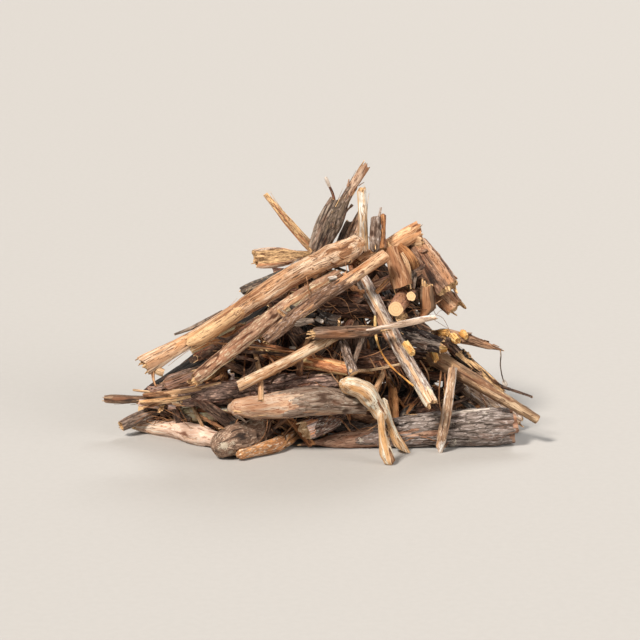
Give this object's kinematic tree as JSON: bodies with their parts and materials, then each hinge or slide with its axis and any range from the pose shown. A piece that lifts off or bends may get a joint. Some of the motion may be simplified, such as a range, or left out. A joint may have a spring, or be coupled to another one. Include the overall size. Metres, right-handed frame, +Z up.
{
  "type": "bundle of twigs",
  "caption": "Loose heap of short broken twigs, split branches, root ends and bark scraps, for kindling or ground dressing.",
  "frame": {"origin": "on the surface that the heap lies on, under the middle of its bounding box", "axes": "+Z up, +X along the heap's longest side, -Y towards the side that it is seen from"},
  "size_m": [0.2614, 0.1526, 0.1632],
  "materials": {
    "peeled_wood": "bare peeled wood with a fine long grain, pale at fresh breaks and cuts",
    "tan_bark": "thin smooth tan to pinkish bark with lengthwise lines",
    "grey_bark": "weathered grey bark, cracked lengthwise and speckled with pale lichen",
    "dark_bark": "rough dark brown bark with deep furrows and reddish inner streaks",
    "red_fibre": "stringy reddish-brown inner bark"
  },
  "bodies": {
    "root": {"grey_bark_log": "grey_bark", "pink_root_arm": "tan_bark", "mossy_burl": "grey_bark", "right_root_arm": "tan_bark", "sawn_stub": "grey_bark", "knobbly_front_log": "grey_bark", "dark_furrowed_log": "dark_bark", "splintered_heartwood": "peeled_wood", "long_pale_branch": "peeled_wood", "side_limb_stub": "peeled_wood", "tan_diagonal_branch": "tan_bark", "striped_grey_branch": "grey_bark", "pale_cut_stick": "peeled_wood", "orange_brown_branch": "red_fibre", "forked_twig_stem": "peeled_wood", "forked_twig_left_tine": "peeled_wood", "forked_twig_right_tine": "peeled_wood", "slant_cut_stick": "tan_bark", "grey_white_stick": "grey_bark", "long_right_stick": "tan_bark", "split_bark_shell": "red_fibre", "pointed_bark_shard": "red_fibre", "tall_splintered_branch": "dark_bark", "curled_bark_strip": "tan_bark", "open_bark_shell": "peeled_wood", "pale_upright_stick": "peeled_wood", "grey_brown_plate": "grey_bark", "lichen_stub": "grey_bark", "orange_tan_slab": "tan_bark", "striped_bark_slab": "tan_bark", "brown_flared_stub": "tan_bark", "round_cut_stick": "tan_bark", "small_round_cut_stick": "tan_bark", "lower_flared_stub": "tan_bark", "frayed_stub": "red_fibre", "brown_fibrous_branch": "red_fibre", "pale_pink_wedge": "peeled_wood", "black_bark_chunk": "dark_bark", "flaky_dark_chunk": "dark_bark", "small_grey_stub": "grey_bark", "grey_left_stub": "grey_bark", "far_left_stick": "tan_bark", "left_bark_plate": "red_fibre", "rear_left_branch": "grey_bark", "under_branch_bark": "dark_bark", "inner_low_log": "dark_bark", "inner_middle_log": "dark_bark", "inner_upper_log": "red_fibre", "back_left_base_log": "grey_bark", "back_right_base_log": "tan_bark", "back_left_leaning_branch": "tan_bark", "back_right_leaning_branch": "peeled_wood", "back_cross_branch": "grey_bark", "back_middle_branch": "dark_bark", "back_upper_slab": "red_fibre", "back_upright_stick": "tan_bark", "right_side_branch": "grey_bark", "left_side_branch": "dark_bark", "left_inner_root": "tan_bark"}
  },
  "joints": []
}
